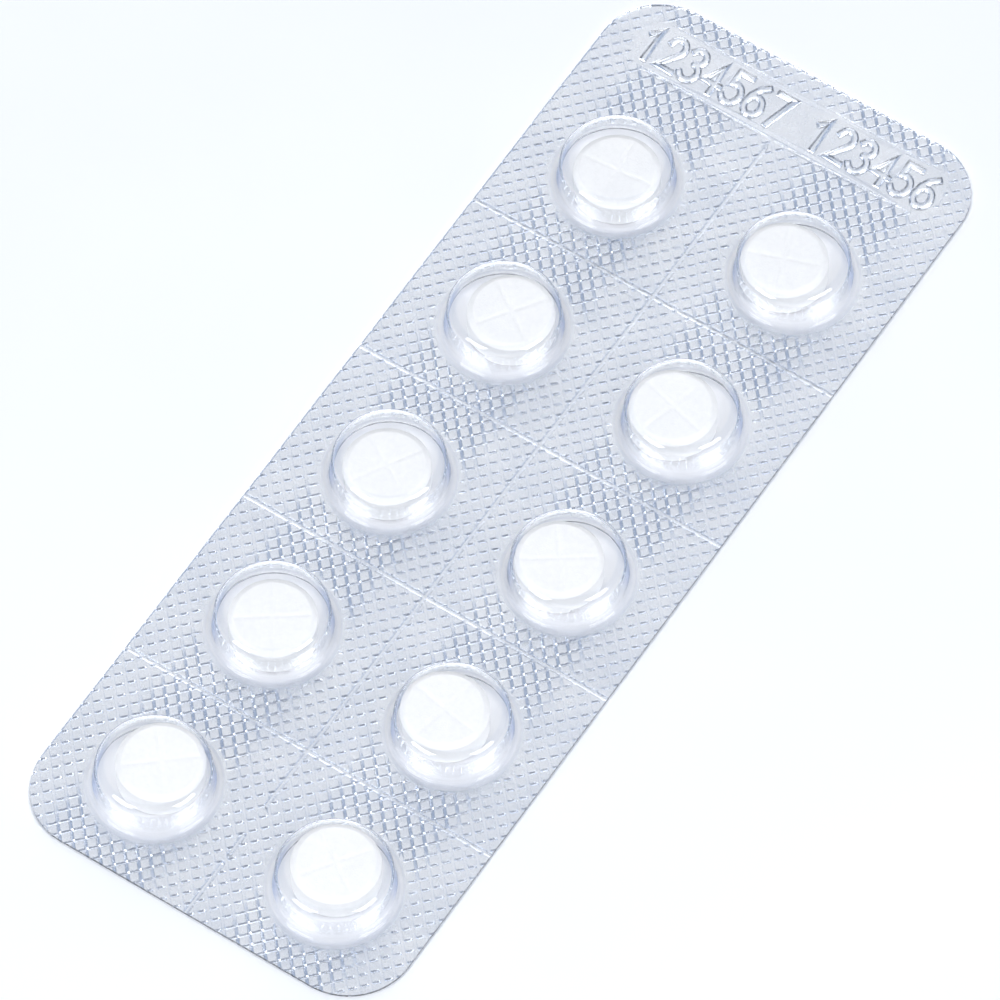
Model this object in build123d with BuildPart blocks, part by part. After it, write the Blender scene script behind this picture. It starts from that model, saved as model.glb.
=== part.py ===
from build123d import *
import os
from math import cos, radians, sin

# Push-through tablet pack: a clear thermoformed film with ten round pockets, sealed to a flat
# aluminium lidding foil, with one cross-scored tablet lying loose in each pocket.
# Millimetres. The card lies foil down. Origin: the centre of the foil's underside.
# X runs across the card, Y runs along it towards the coded end, Z points up out of the pockets.

# Card outline
card_width = 35.0
card_length = 94.0
corner_radius = 5.6

# Layers
foil_thickness = 0.03
film_thickness = 0.25

# Pocket grid
column_spacing = 17.25
row_pitch = 17.0
row_count = 5
plain_end_margin = 8.5              # plain short edge to the nearest pocket centres

# One formed pocket, outside sizes
pocket_base_radius = 4.95
pocket_shoulder_radius = 4.65       # where the drafted wall would meet the crown
pocket_height = 3.6                 # above the foil
pocket_crown_rise = 0.15            # the top is very slightly domed
pocket_shoulder_fillet = 1.0
pocket_root_fillet = 0.3            # where the wall runs out into the sealed flange
pocket_wall = 0.2                   # stretched thinner than the flat sheet

# Ring pressed round every pocket by the sealing plate
seal_ring_radius = 5.3
seal_ring_width = 0.12
seal_ring_depth = 0.04

# Tear lines, cut part way into the film
score_width = 0.16
score_depth = 0.12
score_shift = 0.55                  # cross lines stand this far past midway, towards the coded end
centre_score_runs = ((38.8, -35.5), (-38.5, -40.7), (-41.6, -47.0))     # the gaps are uncut ties

# Smooth panel that carries the embossed code
code_panel_length = 29.4
code_panel_width = 4.8
code_panel_corner = 1.6
code_panel_depth = 0.04
code_panel_margin = 4.5             # coded short edge to the middle of the panel

# Tablet
tablet_radius = 3.65
tablet_thickness = 2.8
bevel_width = 0.45
bevel_height = 0.3
tablet_score_width = 0.5
tablet_score_depth = 0.22

# How each tablet lies in its pocket: millimetres off centre, bearing in degrees, turn of its cross.
# The left column comes first, each column from the coded end down.
tablet_rest = (
    (0.70, -55, 5),
    (0.60, 20, 55),
    (0.60, -75, 60),
    (0.50, -55, 35),
    (0.75, 75, 40),
    (0.75, 205, 20),
    (0.75, 200, 75),
    (0.75, 205, 35),
    (0.75, 180, 80),
    (0.75, 115, 55),
)

flange_top = foil_thickness + film_thickness
column_x = (-column_spacing / 2, column_spacing / 2)
row_y = [plain_end_margin - card_length / 2 + row_pitch * row for row in reversed(range(row_count))]
pocket_centres = [(x, y) for x in column_x for y in row_y]
cross_score_y = [y - row_pitch / 2 + score_shift for y in row_y[:-1]]


def pocket_solid(base_radius, shoulder_radius, height, shoulder_fillet):
    """Closed pocket shape standing on the foil at the origin: drafted wall, shoulder, domed crown."""
    top = foil_thickness + height
    rim = top - pocket_crown_rise
    with BuildPart() as pocket:
        with BuildSketch(Plane.XZ) as section:
            with BuildLine():
                Line((0, top), (0, foil_thickness))
                Polyline((0, foil_thickness), (base_radius, foil_thickness), (shoulder_radius, rim))
                TangentArc((0, top), (shoulder_radius, rim), tangent=(1, 0))
            make_face()
            shoulder = section.vertices().sort_by_distance((shoulder_radius, rim))[0]
            fillet(shoulder, radius=shoulder_fillet)
        revolve(axis=Axis.Z)
    return pocket.part


def scored_tablet(x, y, turn):
    """One tablet lying on the foil: flat faces, bevelled rims and a cross of two V grooves on top."""
    bed = Plane(origin=(x, y, foil_thickness), x_dir=(cos(radians(turn)), sin(radians(turn)), 0))
    with BuildPart(bed) as tablet:
        Cylinder(tablet_radius, tablet_thickness, align=(Align.CENTER, Align.CENTER, Align.MIN))
        chamfer(tablet.edges().filter_by(GeomType.CIRCLE), length=bevel_height, length2=bevel_width)
        for quarter in (0, 90):
            bearing = radians(turn + quarter)
            upright = Plane(origin=bed.origin, x_dir=(cos(bearing), sin(bearing), 0),
                            z_dir=(sin(bearing), -cos(bearing), 0))
            with BuildSketch(upright):
                with BuildLine():
                    Polyline(
                        (-tablet_score_width / 2, tablet_thickness),
                        (0, tablet_thickness - tablet_score_depth),
                        (tablet_score_width / 2, tablet_thickness),
                        close=True,
                    )
                make_face()
            extrude(amount=tablet_radius, both=True, mode=Mode.SUBTRACT)
    return tablet.part


pocket_outside = pocket_solid(
    pocket_base_radius,
    pocket_shoulder_radius,
    pocket_height,
    pocket_shoulder_fillet,
)
pocket_inside = pocket_solid(
    pocket_base_radius - pocket_wall,
    pocket_shoulder_radius - pocket_wall,
    pocket_height - pocket_wall,
    pocket_shoulder_fillet - pocket_wall,
)

os.makedirs("parts", exist_ok=True)

# Clear formed film: the flat sheet, then the pockets, then everything pressed or cut into its top
with BuildPart() as blister_film:
    with BuildSketch(Plane.XY.offset(foil_thickness)):
        RectangleRounded(card_width, card_length, corner_radius)
    extrude(amount=film_thickness)
    with Locations(*pocket_centres):
        add(pocket_outside)
    # From below, the third level of edges is the sheet's top: its outline and the pockets' roots
    sheet_top_circles = blister_film.edges().group_by(Axis.Z)[2].filter_by(GeomType.CIRCLE)
    fillet(sheet_top_circles.filter_by(lambda edge: edge.radius < corner_radius), radius=pocket_root_fillet)
    with Locations(*pocket_centres):
        add(pocket_inside, mode=Mode.SUBTRACT)
    with BuildSketch(Plane.XY.offset(flange_top)):
        with Locations(*pocket_centres):
            Circle(seal_ring_radius + seal_ring_width / 2)
            Circle(seal_ring_radius - seal_ring_width / 2, mode=Mode.SUBTRACT)
    extrude(amount=-seal_ring_depth, mode=Mode.SUBTRACT)
    with BuildSketch(Plane.XY.offset(flange_top)):
        with Locations((0, card_length / 2 - code_panel_margin)):
            RectangleRounded(code_panel_length, code_panel_width, code_panel_corner)
    extrude(amount=-code_panel_depth, mode=Mode.SUBTRACT)
    with BuildSketch(Plane.XY.offset(flange_top)):
        with Locations(*[(0, y) for y in cross_score_y]):
            Rectangle(card_width, score_width)
        for start, end in centre_score_runs:
            with Locations((0, (start + end) / 2)):
                Rectangle(score_width, start - end)
    extrude(amount=-score_depth, mode=Mode.SUBTRACT)
blister_film.part.label = "blister_film"
export_step(blister_film.part, "parts/blister_film.step")

# Lidding foil: one flat sheet with the card's outline
with BuildPart() as lidding_foil:
    with BuildSketch(Plane.XY):
        RectangleRounded(card_width, card_length, corner_radius)
    extrude(amount=foil_thickness)
lidding_foil.part.label = "lidding_foil"
export_step(lidding_foil.part, "parts/lidding_foil.step")

# Tablets: one in each pocket, slid towards its wall and turned as it fell
for index, ((x, y), (slide, bearing, turn)) in enumerate(zip(pocket_centres, tablet_rest), start=1):
    tablet = scored_tablet(x + slide * cos(radians(bearing)), y + slide * sin(radians(bearing)), turn)
    tablet.label = f"tablet_{index:02d}"
    export_step(tablet, f"parts/{tablet.label}.step")
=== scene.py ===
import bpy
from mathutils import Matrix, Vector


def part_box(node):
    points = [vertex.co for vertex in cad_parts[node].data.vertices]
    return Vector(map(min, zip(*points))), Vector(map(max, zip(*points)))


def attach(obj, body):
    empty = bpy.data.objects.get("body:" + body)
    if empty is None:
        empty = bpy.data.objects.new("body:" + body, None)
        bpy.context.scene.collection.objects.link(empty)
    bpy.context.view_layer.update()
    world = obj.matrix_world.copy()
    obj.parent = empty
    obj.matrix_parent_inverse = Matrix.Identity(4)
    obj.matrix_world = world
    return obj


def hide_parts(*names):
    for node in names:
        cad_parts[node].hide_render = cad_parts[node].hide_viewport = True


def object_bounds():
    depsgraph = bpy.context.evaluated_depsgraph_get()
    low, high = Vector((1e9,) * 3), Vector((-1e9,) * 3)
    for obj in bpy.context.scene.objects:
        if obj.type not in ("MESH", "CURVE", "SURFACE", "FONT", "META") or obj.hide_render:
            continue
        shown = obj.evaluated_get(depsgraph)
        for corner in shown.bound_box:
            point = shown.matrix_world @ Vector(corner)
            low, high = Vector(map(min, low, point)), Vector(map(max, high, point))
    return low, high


bl_info = {
    "name": "Push-through tablet pack",
    "version": (1, 0, 0),
    "blender": (4, 5, 0),
    "location": "View3D > Sidebar > Tablet pack",
    "description": "Builds a formed film, its knurled lidding foil and the tablets, round the packed model",
    "category": "Add Mesh",
}

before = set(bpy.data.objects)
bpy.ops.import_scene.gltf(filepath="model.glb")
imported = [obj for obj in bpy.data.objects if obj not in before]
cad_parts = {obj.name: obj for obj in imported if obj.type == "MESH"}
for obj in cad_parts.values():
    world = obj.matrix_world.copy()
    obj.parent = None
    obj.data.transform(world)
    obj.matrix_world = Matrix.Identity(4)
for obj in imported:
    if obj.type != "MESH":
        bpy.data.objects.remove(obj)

import math

import bpy
import numpy as np
from bpy.props import FloatProperty, FloatVectorProperty, IntProperty, PointerProperty, StringProperty
from mathutils import Matrix, Vector
from mathutils.geometry import delaunay_2d_cdt

# Shapes are worked out in millimetres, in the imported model's frame, and written to meshes in metres.
MM = 1000.0
CAD_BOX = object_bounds()
FILM_HIGH = np.array(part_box("blister_film")[1]) * MM
FOIL_LOW, FOIL_HIGH = (np.array(corner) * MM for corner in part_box("lidding_foil"))
TABLET_NODES = sorted(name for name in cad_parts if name.startswith("tablet_"))
HALF_CARD = FOIL_HIGH[:2]


# ------------ sizes and colours a user may change

class CardSettings(bpy.types.PropertyGroup):
    corner: FloatProperty(
        name="Corner radius", description="Rounding of the card's corners", default=0.0056, unit="LENGTH")
    column_spacing: FloatProperty(
        name="Column spacing", description="Between the two columns of pockets", default=0.01725,
        unit="LENGTH")
    row_pitch: FloatProperty(
        name="Row pitch", description="Between rows of pockets", default=0.017, unit="LENGTH")
    rows: IntProperty(name="Rows", description="Pockets in a column", default=5)
    end_margin: FloatProperty(
        name="End margin", description="Plain short edge to the nearest pocket centres", default=0.0085,
        unit="LENGTH")
    wave: FloatProperty(
        name="Flange wave", description="How far the sealed flange rises and falls", default=0.000018,
        unit="LENGTH")
    film: FloatProperty(
        name="Film thickness", description="Thickness of the film's flange", default=0.00025, unit="LENGTH")


class KnurlSettings(bpy.types.PropertyGroup):
    across: FloatProperty(
        name="Diamond width", description="Corner to corner of a foil diamond across the card",
        default=0.00131, unit="LENGTH")
    along: FloatProperty(
        name="Diamond length", description="Corner to corner of a diamond along the card", default=0.0015,
        unit="LENGTH")
    groove: FloatProperty(
        name="Groove width", description="Width of the grooves between the diamonds", default=0.00029,
        unit="LENGTH")
    foil_depth: FloatProperty(
        name="Foil groove depth", description="Depth of the grooves in the foil", default=0.000066,
        unit="LENGTH")
    film_depth: FloatProperty(
        name="Film groove depth", description="Depth of the grooves in the film's top", default=0.00002,
        unit="LENGTH")
    crisp_width: FloatProperty(
        name="Crisp width", description="Half width of the fully pressed band on a column", default=0.0046,
        unit="LENGTH")


class PocketSettings(bpy.types.PropertyGroup):
    base: FloatProperty(
        name="Base radius", description="Outside radius of the wall at the flange", default=0.00495,
        unit="LENGTH")
    shoulder: FloatProperty(
        name="Shoulder radius", description="Outside radius where wall and crown would meet", default=0.00465,
        unit="LENGTH")
    crown_rise: FloatProperty(
        name="Crown rise", description="Doming of the top", default=0.00015, unit="LENGTH")
    shoulder_fillet: FloatProperty(
        name="Shoulder rounding", description="Outside rounding of the shoulder", default=0.001,
        unit="LENGTH")
    root_fillet: FloatProperty(
        name="Root rounding", description="Rounding where the wall meets the flange", default=0.0003,
        unit="LENGTH")
    wall: FloatProperty(
        name="Wall", description="Thickness of the stretched film", default=0.00012, unit="LENGTH")
    seal_ring: FloatProperty(
        name="Seal ring radius", description="Radius of the fine ring pressed round a pocket",
        default=0.00538, unit="LENGTH")
    flat_ring: FloatProperty(
        name="Flat ring radius", description="Inside this radius there is no knurl", default=0.0057,
        unit="LENGTH")


class CutSettings(bpy.types.PropertyGroup):
    width: FloatProperty(
        name="Tear line width", description="Width of a tear line", default=0.00048, unit="LENGTH")
    bottom: FloatProperty(
        name="Tear line bottom", description="Width of a tear line's flat bottom", default=0.0002,
        unit="LENGTH")
    depth: FloatProperty(
        name="Tear line depth", description="Depth of a tear line", default=0.00006, unit="LENGTH")
    shift: FloatProperty(
        name="Tear line shift", description="Cross lines stand this far past midway", default=0.00055,
        unit="LENGTH")


class CodeSettings(bpy.types.PropertyGroup):
    digits: StringProperty(
        name="Code", description="Digits 1 to 7, and blanks, pressed into the coded end",
        default="1234567 123456")
    height: FloatProperty(name="Digit height", description="Height of a digit", default=0.0032, unit="LENGTH")
    pitch: FloatProperty(
        name="Digit pitch", description="From one digit to the next", default=0.00207, unit="LENGTH")
    ridge: FloatProperty(
        name="Ridge height", description="How far the strokes stand up", default=0.00012, unit="LENGTH")
    panel_length: FloatProperty(
        name="Panel length", description="Length of the smooth panel", default=0.0294, unit="LENGTH")
    panel_width: FloatProperty(
        name="Panel width", description="Width of the smooth panel", default=0.0048, unit="LENGTH")
    panel_corner: FloatProperty(
        name="Panel corner", description="Rounding of the panel's ends", default=0.0016, unit="LENGTH")
    panel_margin: FloatProperty(
        name="Panel margin", description="Coded short edge to the panel's middle", default=0.0045,
        unit="LENGTH")


class TabletSettings(bpy.types.PropertyGroup):
    bevel_width: FloatProperty(
        name="Bevel width", description="Width of the rim's bevel", default=0.00045, unit="LENGTH")
    bevel_height: FloatProperty(
        name="Bevel height", description="Height of the rim's bevel", default=0.0003, unit="LENGTH")
    score_width: FloatProperty(
        name="Score width", description="Width of the cross score", default=0.00054, unit="LENGTH")
    score_depth: FloatProperty(
        name="Score depth", description="Depth of the cross score", default=0.000045, unit="LENGTH")
    white: FloatVectorProperty(
        name="Powder white", description="Colour of the pressed powder", default=(0.68, 0.675, 0.665),
        subtype="COLOR")


class FinishSettings(bpy.types.PropertyGroup):
    foil_dark: FloatVectorProperty(
        name="Foil, darker", description="The foil's darker clouds", default=(0.806, 0.843, 0.911),
        subtype="COLOR")
    foil_pale: FloatVectorProperty(
        name="Foil, paler", description="The foil's paler clouds", default=(0.887, 0.912, 0.957),
        subtype="COLOR")
    foil_haze: FloatVectorProperty(
        name="Foil haze", description="The foil where it isn't sealed", default=(0.9, 0.9, 0.91),
        subtype="COLOR")
    # Painted reflection: this blue, mixed into the film's colour where it is seen edge-on, stands in for the
    # blue surroundings reflected in the pockets' flanks
    film_edge_reflection: FloatVectorProperty(
        name="Film edge", description="The film's tint seen edge-on", default=(0.18, 0.36, 0.95),
        subtype="COLOR")


class StageSettings(bpy.types.PropertyGroup):
    azimuth: FloatProperty(
        name="Azimuth", description="Camera's turn about the card", default=math.radians(33.1),
        unit="ROTATION")
    elevation: FloatProperty(
        name="Elevation", description="Camera's height angle", default=math.radians(59.2), unit="ROTATION")
    distance: FloatProperty(name="Distance", description="Camera to card", default=0.779, unit="LENGTH")
    lens: FloatProperty(
        name="Lens", description="Focal length in millimetres on a 36 mm sensor", default=345.7)
    lamp_power: FloatProperty(
        name="Lamp power", description="Power of each softbox", default=4.3, unit="POWER")
    floor_colour: FloatVectorProperty(
        name="Floor", description="Colour of the pale floor", default=(0.96, 0.955, 0.94), subtype="COLOR")


SETTINGS = {"card": CardSettings, "knurl": KnurlSettings, "pocket": PocketSettings, "cuts": CutSettings,
            "code": CodeSettings, "tablet": TabletSettings, "finish": FinishSettings, "stage": StageSettings}


def settings(name):
    """The property group of that name on the scene."""
    return getattr(bpy.context.scene, "pack_" + name)


def add_object(name, data):
    """A new object that is linked to the scene."""
    added = bpy.data.objects.new(name, data)
    bpy.context.scene.collection.objects.link(added)
    return added


# ------------ shared arithmetic

def smooth(value, low, high):
    """Smooth step: 0 below low, 1 above high, and 3t^2 - 2t^3 between them."""
    t = np.clip((value - low) / (high - low), 0.0, 1.0)
    return t * t * (3.0 - 2.0 * t)


def rounded_box_distance(x, y, half_x, half_y, corner):
    """Signed distance to a rounded rectangle about the origin: negative inside it."""
    qx = np.abs(x) - half_x + corner
    qy = np.abs(y) - half_y + corner
    return np.hypot(np.maximum(qx, 0), np.maximum(qy, 0)) + np.minimum(np.maximum(qx, qy), 0) - corner


def rounded_box_outline(half_x, half_y, corner, steps):
    """A rounded rectangle as points: four quarter circles of the corner radius, joined by straight runs."""
    quarter = np.linspace(0, math.pi / 2, steps)
    start = np.arange(4)[:, None] * math.pi / 2
    angle = (start + quarter).ravel()
    sign_x = np.repeat([1, -1, -1, 1], steps)
    sign_y = np.repeat([1, 1, -1, -1], steps)
    return np.stack([sign_x * (half_x - corner) + corner * np.cos(angle),
                     sign_y * (half_y - corner) + corner * np.sin(angle)], axis=1)


def pocket_centres():
    """Centres of the pockets, left column first, each column from the coded end down."""
    card = settings("card")
    rows = np.arange(card.rows)[::-1]
    y = card.end_margin * MM - HALF_CARD[1] + rows * card.row_pitch * MM
    x = np.array([-0.5, 0.5]) * card.column_spacing * MM
    return np.array([(column, row) for column in x for row in y])


def pocket_distance(x, y):
    """Distance from each point to the nearest pocket centre."""
    centres = pocket_centres()
    return np.hypot(x[..., None] - centres[:, 0], y[..., None] - centres[:, 1]).min(axis=-1)


def card_distance(x, y):
    """Signed distance to the card's outline: negative inside it."""
    return rounded_box_distance(x, y, HALF_CARD[0], HALF_CARD[1], settings("card").corner * MM)


def panel_middle():
    """How far up the card the middle of the code's smooth panel is."""
    return HALF_CARD[1] - settings("code").panel_margin * MM


def panel_size():
    """The smooth panel's half length, half width and corner radius."""
    code = settings("code")
    return code.panel_length * MM / 2, code.panel_width * MM / 2, code.panel_corner * MM


def panel_distance(x, y):
    """Signed distance to the smooth panel's outline: negative inside it."""
    return rounded_box_distance(x, y - panel_middle(), *panel_size())


# ------------ tear lines and embossed code

CENTRE_RUNS = ((38.8, -35.5), (-38.5, -40.7), (-41.6, -47.0))  # where the centre line starts and ends
RIDGE_EDGES = (0.3, 0.13)  # from a stroke's middle: where its ridge starts, and where it is at full height


def tear_lines():
    """The tear lines as pairs of end points: four across, and the centre line's runs between its ties."""
    card = settings("card")
    rows = np.unique(pocket_centres()[:, 1])[1:]
    across = rows - card.row_pitch * MM / 2 + settings("cuts").shift * MM
    lines = [((-HALF_CARD[0], y), (HALF_CARD[0], y)) for y in across]
    return lines + [((0.0, start), (0.0, end)) for start, end in CENTRE_RUNS]


def arc(centre_x, centre_y, radius_x, radius_y, start, end):
    """Points along an ellipse's arc, from one angle in degrees to another, about one every 20 degrees."""
    angle = np.radians(np.linspace(start, end, max(3, int(abs(end - start) / 20) + 1)))
    return np.stack([centre_x + radius_x * np.cos(angle), centre_y + radius_y * np.sin(angle)], axis=1)


def digit_strokes(digit):
    """Strokes of one digit in a box 0.5 wide and 1 high, as runs of points."""
    strokes = {
        "1": [[(0.1, 0.76), (0.32, 1.0), (0.32, 0.0)]],
        "2": [np.vstack([arc(0.25, 0.73, 0.22, 0.27, 165, -30), [(0.03, 0.0), (0.49, 0.0)]])],
        "3": [arc(0.23, 0.77, 0.21, 0.23, 150, -85), arc(0.23, 0.27, 0.24, 0.27, 85, -150)],
        "4": [[(0.37, 0.0), (0.37, 1.0), (0.01, 0.3), (0.5, 0.3)]],
        "5": [np.vstack([[(0.46, 1.0), (0.1, 1.0), (0.07, 0.57)], arc(0.22, 0.31, 0.25, 0.31, 115, -145)])],
        "6": [arc(0.25, 0.29, 0.23, 0.29, 180, -180), arc(0.5, 0.29, 0.48, 0.71, 180, 108)],
        "7": [[(0.03, 1.0), (0.48, 1.0), (0.19, 0.0)]],
    }
    return [np.array(points, dtype=float) for points in strokes[digit]]


def code_strokes():
    """Every stroke of the code at its place, reading along +X with its top towards the coded end."""
    code = settings("code")
    height = code.height * MM
    width = 0.5 * height
    text_length = (len(code.digits) - 1) * code.pitch * MM
    base = np.array([-text_length / 2 - width / 2, panel_middle() - height / 2])
    placed = []
    for place, digit in enumerate(code.digits):
        if digit != " ":
            corner = base + (place * code.pitch * MM, 0.0)
            placed += [corner + stroke * height for stroke in digit_strokes(digit)]
    return placed


def stroke_distance(x, y):
    """Distance from each point to the nearest stroke: the least over the strokes' straight segments."""
    nearest = np.full(x.shape, np.inf)
    for stroke in code_strokes():
        for start, end in zip(stroke[:-1], stroke[1:]):
            run = end - start
            from_x, from_y = x - start[0], y - start[1]
            along = np.clip((from_x * run[0] + from_y * run[1]) / (run @ run), 0.0, 1.0)
            nearest = np.minimum(nearest, np.hypot(from_x - along * run[0], from_y - along * run[1]))
    return nearest


def offset_loop(points, offset):
    """A closed loop round a run of points, at one distance on both sides and past both ends."""
    run = np.diff(points, axis=0)
    run /= np.linalg.norm(run, axis=1)[:, None]
    before = np.vstack([run[:1], run])
    after = np.vstack([run, run[-1:]])
    way = before + after
    way /= np.linalg.norm(way, axis=1)[:, None]
    side = np.stack([-way[:, 1], way[:, 0]], axis=1)
    stretch = offset / np.maximum(np.sum(way * after, axis=1), 0.5)
    ends = np.zeros_like(points)
    ends[0] = -run[0] * offset
    ends[-1] = run[-1] * offset
    left = points + ends + side * stretch[:, None]
    right = points + ends - side * stretch[:, None]
    return np.vstack([left, right[::-1]])


# ------------ heights over the card

RING_FADE = 0.5        # the knurl comes to full depth over this distance from a pocket's flat ring
PANEL_FADE = 0.4       # and over this one from the code's panel
BAND_FADE = 1.4        # half width of the change from full diamonds to dashes
FAINT_FAMILY = 0.2     # depth left to the first family of grooves away from the columns
BETWEEN_DASHES = 0.12  # depth left there to the second family between its dashes
DASH_START = 0.3       # share of a diamond's side, from its corner, where a dash is at full depth
WAVE_FADE = 2.5        # the wave comes to full height over this distance from a flat ring
WAVE_REACH = 1.9       # a little more than the wave's parts add up to
SLACK = 1e-4           # a point this little past a line's end still counts as on it


def lattice_coordinates(x, y, across):
    """Counts of diamonds along both diagonals: a whole number of either is the middle of a groove."""
    card = settings("card")
    along = settings("knurl").along * MM
    shift_x = (x - card.column_spacing * MM / 2) / across
    return shift_x + y / along, y / along - shift_x


def knurled_share(x, y):
    """1 where the flange is knurled, falling to 0 at the pockets' flat rings and in the code's panel."""
    flat = settings("pocket").flat_ring * MM
    outside_rings = smooth(pocket_distance(x, y), flat, flat + RING_FADE)
    return outside_rings * smooth(panel_distance(x, y), 0.0, PANEL_FADE)


def film_knurl(x, y, across):
    """The film's shallow diamonds: 1 along the lattice lines, falling straight to 0 in their middles."""
    u, v = lattice_coordinates(x, y, across)
    nearest = np.minimum(np.abs(u - np.round(u)), np.abs(v - np.round(v)))
    return (1.0 - 2.0 * nearest) * knurled_share(x, y)


def groove_share(across):
    """Half a groove's width as a share of a diamond, from groove to groove."""
    knurl = settings("knurl")
    return knurl.groove * MM / 2 * math.hypot(1.0 / across, 1.0 / (knurl.along * MM))


def foil_knurl(x, y, across):
    """The foil's V grooves, 1 at the bottom.

    Near a column of pockets both families are pressed fully. Away from it one family fades and the other
    is deep only in the middle of each diamond's side, so that it reads as rows of short dashes.
    """
    half_groove = groove_share(across)
    u, v = lattice_coordinates(x, y, across)
    from_column = np.abs(np.abs(x) - settings("card").column_spacing * MM / 2)
    crisp_width = settings("knurl").crisp_width * MM
    crisp = 1.0 - smooth(from_column, crisp_width - BAND_FADE, crisp_width + BAND_FADE)
    to_corner = np.abs(u - np.round(u))
    dash = smooth(to_corner, half_groove, DASH_START)
    first = np.clip(1.0 - to_corner / half_groove, 0.0, 1.0)
    first = first * (FAINT_FAMILY + (1.0 - FAINT_FAMILY) * crisp)
    second = np.clip(1.0 - np.abs(v - np.round(v)) / half_groove, 0.0, 1.0)
    second = second * (crisp + (1.0 - crisp) * (BETWEEN_DASHES + (1.0 - BETWEEN_DASHES) * dash))
    return np.maximum(first, second) * knurled_share(x, y)


def wave(x, y):
    """Rise and fall of the flange: a standing wave and two plane ones, dying away at the flat rings."""
    flat = settings("pocket").flat_ring * MM
    swell = (np.cos(0.364 * x + 0.4) * np.cos(0.37 * y + 0.8)
             + 0.5 * np.cos(0.83 * x - 0.52 * y + 1.0)
             + 0.35 * np.cos(0.31 * x + 1.13 * y))
    return settings("card").wave * MM * swell * smooth(pocket_distance(x, y), flat, flat + WAVE_FADE)


def code_ridge(x, y):
    """Ridge of the embossed strokes: 1 on its flat top, sloping down to 0 at its outer distance."""
    outer, inner = RIDGE_EDGES
    return np.clip((outer - stroke_distance(x, y)) / (outer - inner), 0.0, 1.0)


def cut(x, y):
    """Tear lines: a shallow channel with sloping sides, 1 on its flat bottom and 0 outside it."""
    cuts = settings("cuts")
    half, bottom = cuts.width * MM / 2, cuts.bottom * MM / 2
    depth = np.zeros(x.shape)
    for (start_x, start_y), (end_x, end_y) in tear_lines():
        if start_x == end_x:
            inside = (y <= start_y + SLACK) & (y >= end_y - SLACK)
            depth = np.maximum(depth, inside * (half - np.abs(x - start_x)) / (half - bottom))
        else:
            depth = np.maximum(depth, (half - np.abs(y - start_y)) / (half - bottom))
    return np.clip(depth, 0.0, 1.0)


def flange_level():
    """Height of the foil's diamonds: its grooves and waves stay above what the pack lies on."""
    foil = FOIL_HIGH[2] - FOIL_LOW[2]
    return foil + settings("knurl").foil_depth * MM + WAVE_REACH * settings("card").wave * MM


# ------------ flat mesh between the pockets

RING_COLUMNS = 96
RING_ANGLES = np.arange(RING_COLUMNS) * 2 * math.pi / RING_COLUMNS
SNAP = 1e-3         # points closer than this to a ring are on it
PAST_OUTLINE = 1.0  # lattice points are kept this far outside the card, so that its edge is crossed
PANEL_CLEAR = 0.02  # and are left out within these distances of the panel and of the rings
RING_CLEAR = 0.05


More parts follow.
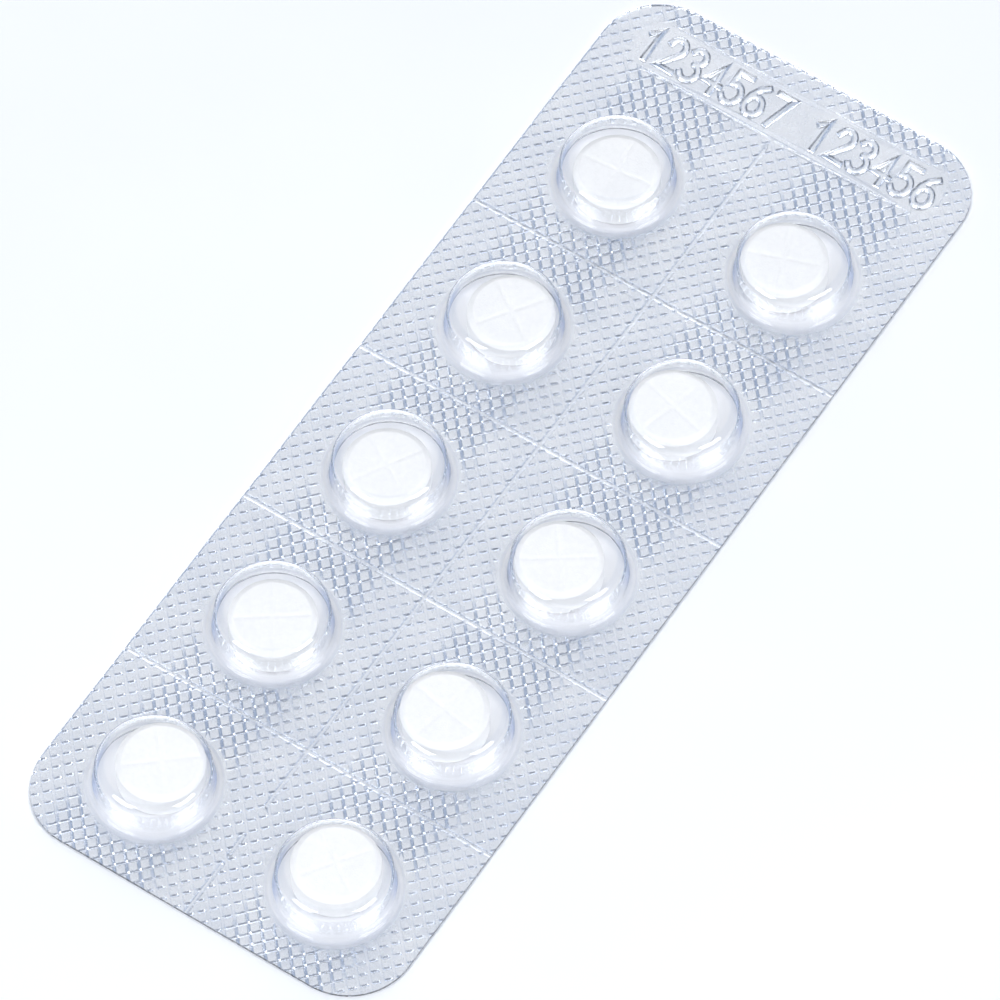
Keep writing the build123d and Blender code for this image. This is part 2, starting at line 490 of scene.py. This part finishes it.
def planform(across, first_steps, second_steps):
    """Triangles that fill the card's outline outside the pockets' flat rings.

    The lattice's lines, at the given shares of a diamond along both diagonals, the card's outline, the
    rings, the tear lines and the code's strokes all go to a constrained triangulation, so each crease of
    the height functions runs along edges of the mesh.
    """
    card = settings("card")
    cuts = settings("cuts")
    ring = settings("pocket").flat_ring * MM
    along = settings("knurl").along * MM

    # The lattice: point (u, v) lies at x = (u - v) across / 2, y = (u + v) along / 2
    count = int(HALF_CARD[0] * 2 / across + HALF_CARD[1] / along) + 3
    whole = np.arange(-count, count + 1)[:, None]
    u, v = np.meshgrid((whole + first_steps).ravel(), (whole + second_steps).ravel(), indexing="ij")
    x = (u - v) * across / 2 + card.column_spacing * MM / 2
    y = (u + v) * along / 2
    kept = (card_distance(x, y) < PAST_OUTLINE) & (panel_distance(x, y) > PANEL_CLEAR)
    kept[kept] &= pocket_distance(x[kept], y[kept]) > ring + RING_CLEAR
    number = np.full(kept.shape, -1)
    number[kept] = np.arange(kept.sum())
    points = [np.stack([x[kept], y[kept]], axis=1)]
    edges = []
    for first, second in ((number[:-1], number[1:]), (number[:, :-1], number[:, 1:])):
        both = (first >= 0) & (second >= 0)
        edges.append(np.stack([first[both], second[both]], axis=1))
    total = len(points[0])

    def add_run(run, closed):
        """Adds a run of points and the edges along it."""
        nonlocal total
        index = total + np.arange(len(run))
        following = np.roll(index, -1)
        pairs = np.stack([index, following], axis=1)
        edges.append(pairs if closed else pairs[:-1])
        points.append(run)
        total += len(run)

    add_run(rounded_box_outline(HALF_CARD[0], HALF_CARD[1], card.corner * MM, steps=24), True)
    add_run(rounded_box_outline(*panel_size(), steps=8) + (0.0, panel_middle()), True)
    circle = ring * np.stack([np.cos(RING_ANGLES), np.sin(RING_ANGLES)], axis=1)
    for centre in pocket_centres():
        add_run(centre + circle, True)
    for start, end in tear_lines():
        direction = np.sign(np.subtract(end, start))
        side = np.array([-direction[1], direction[0]]) * MM / 2
        for step in (-cuts.width, -cuts.bottom, cuts.bottom, cuts.width):
            add_run(np.array([start, end]) + side * step, False)
    for stroke in code_strokes():
        for distance in RIDGE_EDGES:
            add_run(offset_loop(stroke, distance), True)

    whole_hull, tolerance, least_area = 0, 1e-5, 1e-9
    corners, runs = np.vstack(points).tolist(), np.vstack(edges).tolist()
    flat = delaunay_2d_cdt(corners, runs, [], whole_hull, tolerance, False)
    xy = np.array(flat[0], dtype=float)
    triangles = np.array(flat[2])
    middle = xy[triangles].mean(axis=1)
    inside = card_distance(middle[:, 0], middle[:, 1]) < 0
    inside &= pocket_distance(middle[:, 0], middle[:, 1]) > ring * math.cos(math.pi / RING_COLUMNS)
    triangles = triangles[inside]
    a, b, c = (xy[triangles[:, corner]] for corner in range(3))
    area = (b[:, 0] - a[:, 0]) * (c[:, 1] - a[:, 1]) - (b[:, 1] - a[:, 1]) * (c[:, 0] - a[:, 0])
    triangles[area < 0] = triangles[area < 0][:, ::-1]
    triangles = triangles[np.abs(area) > least_area]
    used, triangles = np.unique(triangles, return_inverse=True)
    return xy[used], triangles.reshape(-1, 3)


def open_edges(triangles):
    """Directed edges that only one triangle has, in that triangle's own direction."""
    directed = np.vstack([triangles[:, [0, 1]], triangles[:, [1, 2]], triangles[:, [2, 0]]])
    size = triangles.max() + 1
    forward = directed[:, 0] * size + directed[:, 1]
    backward = directed[:, 1] * size + directed[:, 0]
    return directed[~np.isin(forward, backward)]


def ring_order(xy, centre, radius):
    """Indices of the points on a pocket's flat ring, anticlockwise from +X."""
    offset = xy - centre
    on_ring = np.flatnonzero(np.abs(np.hypot(offset[:, 0], offset[:, 1]) - radius) < SNAP)
    angle = np.arctan2(offset[on_ring, 1], offset[on_ring, 0]) % (2 * math.pi)
    angle[angle > 2 * math.pi - SNAP] = 0.0
    return on_ring[np.argsort(angle)]


# ------------ building meshes

RIM_REACH = 0.02     # open edges nearer than this to the outline are the card's rim
WALL_UNEVEN = 0.012  # how far the formed walls stray from round
HAZE_RADIUS = 5.2    # inside this the foil under a pocket is fully hazy


class Shell:
    """Points and faces of one piece, gathered from several surfaces that share points."""

    def __init__(self):
        self.points = []
        self.faces = []
        self.smooth = []
        self.loose = []
        self.total = 0

    def add_points(self, points, loose=0.0):
        """Adds an array of points and gives their indices. Loose is 0 where film and foil are sealed."""
        flat = np.asarray(points, dtype=float).reshape(-1, 3)
        index = self.total + np.arange(len(flat))
        self.points.append(flat)
        self.loose.append(np.broadcast_to(loose, len(flat)))
        self.total += len(flat)
        return index

    def add_faces(self, faces, rounded, turned=False):
        """Adds triangles or quads, turned over if asked."""
        faces = faces[:, ::-1] if turned else faces
        self.faces += faces.tolist()
        self.smooth += [rounded] * len(faces)

    def add_skin(self, ring, rows, pole, turned=False):
        """A surface of rows of points inside one shared ring, closed by a fan to its pole."""
        for row in rows:
            self.add_faces(np.stack([ring, np.roll(ring, -1), np.roll(row, -1), row], axis=1), True, turned)
            ring = row
        centre = np.full(len(ring), pole)
        self.add_faces(np.stack([ring, np.roll(ring, -1), centre], axis=1), True, turned)

    def build(self, name, material, replaced):
        """Makes the object, gives it its material and ties it to the frame."""
        mesh = bpy.data.meshes.new(name)
        mesh.from_pydata((np.vstack(self.points) / MM).tolist(), [], self.faces)
        mesh.polygons.foreach_set("use_smooth", self.smooth)
        mesh.attributes.new("loose", "FLOAT", "POINT").data.foreach_set("value", np.concatenate(self.loose))
        mesh.materials.append(material)
        if mesh.validate():
            raise RuntimeError(f"{name}: the mesh had faults")
        mesh.update()
        piece = add_object(name, mesh)
        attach(piece, "root")
        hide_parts(replaced)
        return piece


def card_layer(shell, xy, triangles, top, bottom):
    """A thin closed layer on one plan: top, underside and edge. Gives the indices of top and underside."""
    upper = shell.add_points(np.column_stack([xy, top]))
    lower = shell.add_points(np.column_stack([xy, bottom]))
    shell.add_faces(upper[triangles], False)
    shell.add_faces(lower[triangles], False, turned=True)
    edge = open_edges(triangles)
    distance = card_distance(xy[:, 0], xy[:, 1])
    rim = edge[(np.abs(distance[edge]) < RIM_REACH).all(axis=1)]
    shell.add_faces(np.column_stack([lower[rim], upper[rim[:, ::-1]]]), False)
    return upper, lower


def pocket_profile(flange, base, shoulder, rim, crown, fillet, root, shoulder_steps):
    """Half section of a formed pocket from the flange inwards, as radii and heights.

    A concave quarter round at the root, the straight drafted wall, a round shoulder tangent to the wall and
    the crown, and a crown that falls as the square of the distance from the axis.
    """
    lean = math.atan2(base - shoulder, rim - flange)
    fall = math.atan2(2 * (crown - rim), shoulder)
    wall_normal = np.array([math.cos(lean), math.sin(lean)])
    crown_normal = np.array([math.sin(fall), math.cos(fall)])
    corner = np.array([shoulder, rim])
    middle = np.linalg.solve(np.stack([wall_normal, crown_normal]),
                             np.array([corner @ wall_normal - fillet, corner @ crown_normal - fillet]))
    root_steps, wall_steps, crown_steps = 6, 8, 9
    turn = np.linspace(lean, math.pi / 2 - fall, shoulder_steps)
    round_r = middle[0] + fillet * np.cos(turn)
    round_z = middle[1] + fillet * np.sin(turn)
    sweep = np.linspace(-math.pi / 2, -math.pi + lean, root_steps)
    root_x = base + root
    root_r = root_x + root * np.cos(sweep)
    root_z = flange + root + root * np.sin(sweep)
    wall_share = np.linspace(0, 1, wall_steps)[1:-1]
    wall_r = root_r[-1] + (round_r[0] - root_r[-1]) * wall_share
    wall_z = root_z[-1] + (round_z[0] - root_z[-1]) * wall_share
    crown_r = round_r[-1] * np.linspace(1, 0, crown_steps)[1:-1]
    crown_z = crown - (crown - round_z[-1]) * (crown_r / round_r[-1]) ** 2
    radius = np.concatenate([root_r, wall_r, round_r, crown_r])
    return radius, np.concatenate([root_z, wall_z, round_z, crown_z])


def ring_rows(centre, radius, height, uneven):
    """Rows of points round an axis: circles of their own radius and height, very slightly lobed.

    The lobes are two and five to a turn, set by the pocket's place, and die away at the root and the crown.
    """
    root_fade, crown_fade, above_crown = 0.5, 0.6, 0.001
    angle = RING_ANGLES
    lobes = uneven * (np.cos(2 * angle + centre[1]) + 0.5 * np.cos(5 * angle - 2 * centre[0] + centre[1]))
    free = smooth(height, height[0], height[0] + root_fade)
    free = free * smooth(-height, -height.max() - above_crown, -height.max() + crown_fade)
    spread = radius[:, None] + lobes * free[:, None]
    return np.stack([centre[0] + spread * np.cos(angle), centre[1] + spread * np.sin(angle),
                     np.broadcast_to(height[:, None], spread.shape)], axis=2)


def add_pocket(shell, ring, centre, radius, height, uneven, turned):
    """One pocket surface inside a shared ring of the flange, with its pole on the axis.

    A turned one is a sheet's lower skin, which has no haze.
    """
    unsealed = 0.0 if turned else 1.0
    haze = smooth(-radius, -settings("pocket").flat_ring * MM, -HAZE_RADIUS)
    loose = unsealed * np.repeat(haze, RING_COLUMNS)
    points = ring_rows(centre, radius, height, uneven)
    rows = shell.add_points(points, loose).reshape(len(radius), RING_COLUMNS)
    crown = height[-1] + (height[-1] - height[-2]) * radius[-1] / (2 * radius[-2] - radius[-1])
    pole = shell.add_points([[centre[0], centre[1], crown]], unsealed)[0]
    shell.add_skin(ring, list(rows), pole, turned)


# ------------ materials

def feed(tree, node, inputs):
    """Links each named or numbered input of a node to a socket, or sets it to a plain value."""
    for name, value in inputs.items():
        if isinstance(value, bpy.types.NodeSocket):
            tree.links.new(value, node.inputs[name])
        else:
            node.inputs[name].default_value = value


def add_node(tree, kind, inputs=None, **choices):
    """Adds a shader node, makes its choices and feeds its inputs."""
    node = tree.nodes.new("ShaderNode" + kind)
    for name, choice in choices.items():
        setattr(node, name, choice)
    feed(tree, node, inputs or {})
    return node


def new_material(name):
    """A node material, its tree and its Principled shader."""
    material = bpy.data.materials.new(name)
    material.use_nodes = True
    tree = material.node_tree
    tree.nodes.clear()
    shader = add_node(tree, "BsdfPrincipled")
    add_node(tree, "OutputMaterial", {"Surface": shader.outputs["BSDF"]}, name="output")
    return material, tree, shader


def grain_group():
    """Shared effect: cloudy noise on a position, its middle tones spread between two values."""
    group = bpy.data.node_groups.get("grain")
    if group:
        return group
    group = bpy.data.node_groups.new("grain", "ShaderNodeTree")
    group.interface.new_socket("Vector", in_out="INPUT", socket_type="NodeSocketVector")
    for name, default in (("Scale", 1000.0), ("Detail", 3.0), ("Low", 0.0), ("High", 1.0)):
        socket = group.interface.new_socket(name, in_out="INPUT", socket_type="NodeSocketFloat")
        socket.default_value = default
    group.interface.new_socket("Value", in_out="OUTPUT", socket_type="NodeSocketFloat")
    given = group.nodes.new("NodeGroupInput").outputs
    noise = add_node(group, "TexNoise", {name: given[name] for name in ("Vector", "Scale", "Detail")})
    spread = add_node(group, "MapRange", {"Value": noise.outputs["Fac"], "From Min": 0.3, "From Max": 0.7,
                                          "To Min": given["Low"], "To Max": given["High"]})
    feed(group, group.nodes.new("NodeGroupOutput"), {"Value": spread.outputs["Result"]})
    return group


def add_grain(tree, scale, low=0.0, high=1.0, detail=3.0, stretch=(1.0, 1.0, 1.0)):
    """Places the grain group on object coordinates and gives its output."""
    position = add_node(tree, "TexCoord").outputs["Object"]
    mapping = add_node(tree, "Mapping", {"Vector": position, "Scale": stretch})
    grain = add_node(tree, "Group", {"Vector": mapping.outputs["Vector"], "Scale": scale, "Detail": detail,
                                     "Low": low, "High": high}, node_tree=grain_group())
    return grain.outputs["Value"]


def tint_between(tree, value, first, second):
    """A colour that runs from first to second with a 0 to 1 value."""
    ramp = add_node(tree, "ValToRGB", {"Fac": value})
    for stop, colour in zip(ramp.color_ramp.elements, (first, second)):
        stop.color = (*colour, 1.0)
    return ramp.outputs["Color"]


def mix_to(tree, share, first, second):
    """Goes from the socket first to a number or colour second with a 0 to 1 share."""
    kind = "RGBA" if isinstance(second, tuple) else "FLOAT"
    return add_node(tree, "Mix", {"Factor": share, "A": first, "B": second}, data_type=kind).outputs["Result"]


def add_bump(tree, shader, value, strength, distance):
    """Feeds a value to the shader's normal as a small bump."""
    bump = add_node(tree, "Bump", {"Height": value, "Strength": strength, "Distance": distance})
    feed(tree, shader, {"Normal": bump.outputs["Normal"]})


def foil_material():
    """Hard aluminium foil: cloudy cold sheen and fine rolling lines, hazier where it isn't sealed."""
    finish = settings("finish")
    material, tree, shader = new_material("lidding_foil")
    loose = add_node(tree, "Attribute", attribute_name="loose").outputs["Fac"]
    sheen = tint_between(tree, add_grain(tree, 260.0), finish.foil_dark, finish.foil_pale)
    polish = add_grain(tree, 1400.0, 0.24, 0.29)
    hazy_roughness = 0.5
    feed(tree, shader, {"Base Color": mix_to(tree, loose, sheen, (*finish.foil_haze, 1.0)),
                        "Roughness": mix_to(tree, loose, polish, hazy_roughness),
                        "Metallic": 1.0})
    rolling_lines = add_grain(tree, 9000.0, stretch=(1.0, 0.06, 1.0))
    add_bump(tree, shader, rolling_lines, 0.25, 0.000004)
    return material


def film_material():
    """Clear rigid film: glass-like plastic, with a painted blue reflection where it is seen edge-on. Lamps
    shine through it.
    """
    material, tree, shader = new_material("clear_film")
    cloud = add_grain(tree, 180.0, detail=0.0)
    clear_tint = tint_between(tree, cloud, (0.98, 0.986, 0.996), (0.988, 0.992, 0.998))
    # Painted reflection: where the film is seen edge-on its colour turns blue, in place of the blue
    # surroundings reflected in the pockets' flanks
    facing = add_node(tree, "LayerWeight").outputs["Facing"]
    edge_reflection_share = add_node(tree, "MapRange", {"Value": facing, "From Min": 0.68, "From Max": 0.92},
                       interpolation_type="SMOOTHSTEP").outputs["Result"]
    feed(tree, shader, {"Base Color": mix_to(tree, edge_reflection_share, clear_tint, (*settings("finish").film_edge_reflection, 1.0)),
                        "Transmission Weight": 1.0, "Roughness": 0.0, "IOR": 1.53})
    add_bump(tree, shader, add_grain(tree, 900.0, detail=0.0), 0.15, 0.00001)
    see_through = add_node(tree, "BsdfTransparent", {"Color": (0.95, 0.96, 0.98, 1.0)})
    shadow_ray = add_node(tree, "LightPath").outputs["Is Shadow Ray"]
    mix = add_node(tree, "MixShader", {"Fac": shadow_ray, 1: shader.outputs["BSDF"],
                                       2: see_through.outputs["BSDF"]})
    feed(tree, tree.nodes["output"], {"Surface": mix.outputs["Shader"]})
    return material


def tablet_material():
    """Matt white pressed powder: faint grey mottling and a fine gritty surface."""
    white = settings("tablet").white
    shade = [channel * 0.95 for channel in white]
    material, tree, shader = new_material("pressed_powder")
    feed(tree, shader, {"Base Color": tint_between(tree, add_grain(tree, 2600.0), shade, white),
                        "Roughness": add_grain(tree, 4000.0, 0.55, 0.8)})
    add_bump(tree, shader, add_grain(tree, 7000.0), 0.35, 0.00002)
    return material


# ------------ pieces

BOND = 0.006                               # the sealed film stands this far into the foil's diamonds
SEAL_SIDES = np.array([0.09, 0.0, -0.08])  # outside, middle and inside of the fine ring's groove in the film
SEAL_DEPTH = 0.05
FOIL_CREASE = 0.035                        # depth of the same ring in the foil
TAUT, SAGGED = 5.6, 4.35                   # the foil starts to dip, and is down at the tablet, at these radii


class PACK_OT_film(bpy.types.Operator):
    """Clear formed film: knurled flange with tear lines and code, and drafted pockets, as one shell"""
    bl_idname = "pack.film"
    bl_label = "Formed film"

    def execute(self, context):
        card = settings("card")
        pocket = settings("pocket")
        knurl = settings("knurl")
        thickness = card.film * MM
        flange = flange_level() - BOND
        # The film's diamonds drift by one against the foil's over a column spacing
        across = 1.0 / (1.0 / (knurl.across * MM) - 1.0 / (card.column_spacing * MM))
        xy, triangles = planform(across, np.array([0.0, 0.5]), np.array([0.0, 0.5]))
        x, y = xy.T
        ridge = settings("code").ridge * MM * code_ridge(x, y)
        bottom = flange + wave(x, y) + ridge
        cuts = cut(x, y)
        top = (bottom + thickness - knurl.film_depth * MM * film_knurl(x, y, across) * (1.0 - cuts)
               - settings("cuts").depth * MM * cuts)
        shell = Shell()
        upper, lower = card_layer(shell, xy, triangles, top, bottom)
        crown = FILM_HIGH[2]
        rim = crown - pocket.crown_rise * MM
        ring_radius = pocket.flat_ring * MM
        wall = pocket.wall * MM
        for centre in pocket_centres():
            ring = ring_order(xy, centre, ring_radius)
            outer_r, outer_z = pocket_profile(
                flange + thickness, pocket.base * MM, pocket.shoulder * MM, rim, crown,
                pocket.shoulder_fillet * MM, pocket.root_fillet * MM, shoulder_steps=12)
            seal = pocket.seal_ring * MM + SEAL_SIDES
            seal_z = flange + thickness - np.array([0.0, SEAL_DEPTH, 0.0])
            add_pocket(shell, upper[ring], centre, np.concatenate([seal, outer_r]),
                       np.concatenate([seal_z, outer_z]), WALL_UNEVEN, False)
            # Inside, the root's round is larger by most of the film, so the film stays even round the bend
            inner_r, inner_z = pocket_profile(
                flange, pocket.base * MM - wall, pocket.shoulder * MM - wall, rim - wall, crown - wall,
                pocket.shoulder_fillet * MM - wall, (pocket.root_fillet + 0.8 * card.film) * MM,
                shoulder_steps=10)
            add_pocket(shell, lower[ring], centre, inner_r, inner_z, WALL_UNEVEN, True)
        shell.build("blister_film_formed", film_material(), "blister_film")
        return {"FINISHED"}


class PACK_OT_foil(bpy.types.Operator):
    """Lidding foil: one thin closed sheet, knurled and embossed where it is sealed"""
    bl_idname = "pack.foil"
    bl_label = "Lidding foil"

    def execute(self, context):
        pocket = settings("pocket")
        knurl = settings("knurl")
        across = knurl.across * MM
        thickness = FOIL_HIGH[2] - FOIL_LOW[2]
        groove = groove_share(across) * np.array([-1.0, 0.0, 1.0])
        xy, triangles = planform(across, np.append(groove, (DASH_START, 1.0 - DASH_START)), groove)
        x, y = xy.T
        cuts = cut(x, y)
        top = (flange_level() + wave(x, y) + settings("code").ridge * MM * code_ridge(x, y)
               - knurl.foil_depth * MM * foil_knurl(x, y, across) * (1.0 - cuts)
               - settings("cuts").depth * MM * cuts)
        shell = Shell()
        upper, lower = card_layer(shell, xy, triangles, top, top - thickness)
        # Under a pocket the foil is creased at the fine ring and dips to where the tablet lies
        seal = pocket.seal_ring * MM
        radius = np.array([seal + 0.1, seal, seal - 0.1, 5.0, 4.8, 4.6, 4.4, 3.6, 2.4, 1.2])
        dip = FOIL_HIGH[2] + (flange_level() - FOIL_HIGH[2]) * smooth(radius, SAGGED, TAUT)
        dip[1] -= FOIL_CREASE
        for centre in pocket_centres():
            ring = ring_order(xy, centre, pocket.flat_ring * MM)
            add_pocket(shell, upper[ring], centre, radius, dip, 0.0, False)
            add_pocket(shell, lower[ring], centre, radius, dip - thickness, 0.0, True)
        shell.build("lidding_foil_knurled", foil_material(), "lidding_foil")
        return {"FINISHED"}


TABLET_TURNS = (5, 55, 60, 35, 40, 20, 75, 35, 80, 55)  # degrees, from tablet_01 on


class PACK_OT_tablets(bpy.types.Operator):
    """Tablets: flat faces, softly bevelled rims and a cross score, one piece for each"""
    bl_idname = "pack.tablets"
    bl_label = "Tablets"

    def execute(self, context):
        powder = tablet_material()
        for node, turn in zip(TABLET_NODES, TABLET_TURNS):
            low, high = (np.array(corner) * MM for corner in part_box(node))
            shell = Shell()
            add_tablet(shell, low, high, math.radians(turn))
            shell.build(f"{node}_pressed", powder, node)
        return {"FINISHED"}


def cross_columns(radius, half_score, turn):
    """Places on a circle for every column: five across each arm of the score, and a fan between the arms.

    A column in an arm keeps its distance from the arm's middle at every radius, so the groove's sides run
    straight; a column between two arms keeps its share of the angle between their grooves.
    """
    across = half_score * np.array([-1.0, -0.5, 0.0, 0.5, 1.0])
    share = np.linspace(0, 1, 14)[1:-1]
    edge = np.arcsin(half_score / radius)[:, None]
    in_arm = np.arcsin(across / radius[:, None])
    between = edge + share * (math.pi / 2 - 2 * edge)
    quarter = np.concatenate([in_arm, between], axis=1)
    angle = np.concatenate([quarter + arm * math.pi / 2 for arm in range(4)], axis=1)
    return angle + turn


def add_tablet(shell, low, high, turn):
    """One tablet as rows of points from the bottom's pole over the rim to the top's.

    The rows follow a half section: flat face, eased corner, bevel, eased corner, side. On top, the height
    drops by a rounded V of the distance to the nearer arm of the cross.
    """
    tablet = settings("tablet")
    centre = (low + high) / 2
    outer = (high[0] - low[0]) / 2
    face = outer - tablet.bevel_width * MM
    bevel = tablet.bevel_height * MM
    half_score = tablet.score_width * MM / 2
    ease = 0.06
    half_r = np.array([0.4, 1.2, 2.0, 2.7, face - 2 * ease, face - ease, face + ease * 0.6,
                       (face + outer) / 2, outer - ease * 0.7, outer - ease * 0.1, outer])
    half_z = np.array([0.0, 0.0, 0.0, 0.0, 0.0, 0.008, 0.05,
                       bevel / 2 + 0.01, bevel - ease * 0.5, bevel + ease * 0.4, bevel + ease * 1.6])
    radius = np.concatenate([half_r, half_r[::-1]])
    height = np.concatenate([low[2] + half_z, high[2] - half_z[::-1]])
    angle = cross_columns(radius, half_score, turn)
    x = radius[:, None] * np.cos(angle)
    y = radius[:, None] * np.sin(angle)
    along = x * math.cos(turn) + y * math.sin(turn)
    aside = y * math.cos(turn) - x * math.sin(turn)
    groove = np.clip(1.0 - np.minimum(np.abs(along), np.abs(aside)) / half_score, 0.0, 1.0)
    on_top = np.arange(len(radius)) >= len(half_r) + 1
    floor = high[2] - tablet.score_depth * MM * groove ** 0.8
    z = np.broadcast_to(height[:, None], x.shape).copy()
    z[on_top] = np.minimum(z[on_top], floor[on_top])
    rows = shell.add_points(np.stack([centre[0] + x, centre[1] + y, z], axis=2)).reshape(x.shape)
    bottom = shell.add_points([[centre[0], centre[1], low[2]]])[0]
    top = shell.add_points([[centre[0], centre[1], high[2] - tablet.score_depth * MM]])[0]
    ring = rows[0]
    shell.add_faces(np.stack([np.full(len(ring), bottom), np.roll(ring, -1), ring], axis=1), True)
    shell.add_skin(ring, list(rows[1:]), top)


# ------------ stage

FLOOR_GAP = 0.00003  # metres, in this section
SOFTBOX_BEARING = math.radians(54.0)  # to the left and to the right of the camera
SOFTBOX_RISE = math.radians(38.0)
SOFTBOX_DISTANCE = 0.9
SOFTBOX_SIZE = (0.5, 0.45)
AIM_SHIFT = Vector((-0.0001, -0.0012, -0.0005))  # from the middle of the card to where the camera looks
WORLD_LEVEL = 0.9


class PACK_OT_stage(bpy.types.Operator):
    """Pale floor, soft studio light and the camera"""
    bl_idname = "pack.stage"
    bl_label = "Stage"

    def execute(self, context):
        add_floor()
        add_world()
        add_softbox("softbox_left", -SOFTBOX_BEARING)
        add_softbox("softbox_right", SOFTBOX_BEARING)
        add_camera()
        context.scene.view_settings.view_transform = "Standard"
        return {"FINISHED"}


def camera_axes():
    """The camera's right, up and back vectors, from its azimuth and elevation."""
    stage = settings("stage")
    a, e = stage.azimuth, stage.elevation
    right = Vector((math.cos(a), math.sin(a), 0.0))
    back = Vector((math.sin(a) * math.cos(e), -math.cos(a) * math.cos(e), math.sin(e)))
    return right, back.cross(right), back


def add_floor():
    """A pale floor just under the card: a square grid whose far parts are level too."""
    side = np.linspace(-2.0, 2.0, 9)
    x, y = np.meshgrid(side, side, indexing="ij")
    points = np.stack([x, y, np.full(x.shape, CAD_BOX[0][2] - FLOOR_GAP)], axis=2).reshape(-1, 3)
    index = np.arange(side.size ** 2).reshape(side.size, side.size)
    faces = np.stack([index[:-1, :-1], index[1:, :-1], index[1:, 1:], index[:-1, 1:]], axis=2)
    mesh = bpy.data.meshes.new("floor")
    mesh.from_pydata(points.tolist(), [], faces.reshape(-1, 4).tolist())
    material, tree, shader = new_material("pale_floor")
    colour = settings("stage").floor_colour
    paler = [min(1.0, channel * 1.03) for channel in colour]
    feed(tree, shader, {"Base Color": tint_between(tree, add_grain(tree, 30.0), colour, paler),
                        "Roughness": 0.8})
    mesh.materials.append(material)
    floor = add_object("floor", mesh)


def add_world():
    """A white studio: dark round the camera's place, dimmer at the sides, brightest low down opposite."""
    world = bpy.data.worlds.new("studio")
    bpy.context.scene.world = world
    world.use_nodes = True
    tree = world.node_tree
    position = add_node(tree, "TexCoord").outputs["Generated"]
    right, _, back = camera_axes()
    far = Vector((-back.x, -back.y, 0.0)).normalized()
    # Each axis with the components along it between which its light goes from full to the last number
    lights = ((back, 0.6, 0.9, 0.08), (right, 0.22, 0.6, 0.4),
              (-right, 0.22, 0.6, 0.4), (far, 0.7, 0.92, 3.0))
    total = 1.0
    for axis, low, high, light in lights:
        along = add_node(tree, "VectorMath", {0: position, 1: axis}, operation="DOT_PRODUCT")
        share = add_node(
            tree, "MapRange", {"Value": along.outputs["Value"], "From Min": low, "From Max": high,
                               "To Min": 1.0, "To Max": light}, interpolation_type="SMOOTHSTEP")
        product = add_node(tree, "Math", {0: total, 1: share.outputs["Result"]}, operation="MULTIPLY")
        total = product.outputs["Value"]
    # The darker a direction is, the colder: white falls through pale blue and slate to black
    ramp = add_node(tree, "ValToRGB", {"Fac": total})
    for place, colour in ((0.1, (0.04, 0.08, 0.17)), (0.4, (0.26, 0.36, 0.54)), (0.7, (0.62, 0.7, 0.84))):
        ramp.color_ramp.elements.new(place).color = (*colour, 1.0)
    strength = add_node(tree, "Math", {0: total, 1: 1.0}, operation="MAXIMUM")
    level = add_node(tree, "Math", {0: strength.outputs["Value"], 1: WORLD_LEVEL}, operation="MULTIPLY")
    feed(tree, tree.nodes["Background"], {"Color": ramp.outputs["Color"], "Strength": level.outputs["Value"]})


def add_softbox(name, bearing):
    """An oblong softbox that faces the card, at a bearing from the camera's side of it."""
    right, _, back = camera_axes()
    toward = Vector((back.x, back.y, 0.0)).normalized()
    direction = (toward * math.cos(bearing) + right * math.sin(bearing)) * math.cos(SOFTBOX_RISE)
    direction += Vector((0.0, 0.0, math.sin(SOFTBOX_RISE)))
    data = bpy.data.lights.new(name, "AREA")
    data.shape = "RECTANGLE"
    data.size, data.size_y = SOFTBOX_SIZE
    data.energy = settings("stage").lamp_power
    lamp = add_object(name, data)
    turn = direction.to_track_quat("Z", "Y").to_matrix().to_4x4()
    lamp.matrix_world = Matrix.Translation(direction * SOFTBOX_DISTANCE) @ turn


def add_camera():
    """A long lens looking down at the card's middle."""
    stage = settings("stage")
    right, up, back = camera_axes()
    aim = Vector((CAD_BOX[0][0] + CAD_BOX[1][0], CAD_BOX[0][1] + CAD_BOX[1][1], 0.0)) / 2
    aim += AIM_SHIFT
    data = bpy.data.cameras.new("camera")
    data.lens = stage.lens
    data.sensor_width = 36.0
    data.clip_start = 0.01
    data.clip_end = 20.0
    camera = add_object("camera", data)
    turn = Matrix((right, up, back)).transposed().to_4x4()
    camera.matrix_world = Matrix.Translation(aim + back * stage.distance) @ turn
    bpy.context.scene.camera = camera


# ------------ sidebar and registration

STEPS = (PACK_OT_foil, PACK_OT_tablets, PACK_OT_film, PACK_OT_stage)


class PACK_PT_sidebar(bpy.types.Panel):
    """Lists the pack's pieces and sizes"""
    bl_label = "Tablet pack"
    bl_idname = "PACK_PT_sidebar"
    bl_space_type = "VIEW_3D"
    bl_region_type = "UI"
    bl_category = "Tablet pack"

    def draw(self, context):
        for step in STEPS:
            self.layout.operator(step.bl_idname)
        for name, group in SETTINGS.items():
            box = self.layout.box()
            for field in group.__annotations__:
                box.prop(settings(name), field)


def register():
    for name, group in SETTINGS.items():
        bpy.utils.register_class(group)
        setattr(bpy.types.Scene, "pack_" + name, PointerProperty(type=group))
    for shown in (*STEPS, PACK_PT_sidebar):
        bpy.utils.register_class(shown)


def unregister():
    for shown in (PACK_PT_sidebar, *reversed(STEPS)):
        bpy.utils.unregister_class(shown)
    for name, group in SETTINGS.items():
        delattr(bpy.types.Scene, "pack_" + name)
        bpy.utils.unregister_class(group)


def main():
    register()
    bpy.ops.pack.foil()
    bpy.ops.pack.tablets()
    bpy.ops.pack.film()
    bpy.ops.pack.stage()


if __name__ == "__main__":
    main()
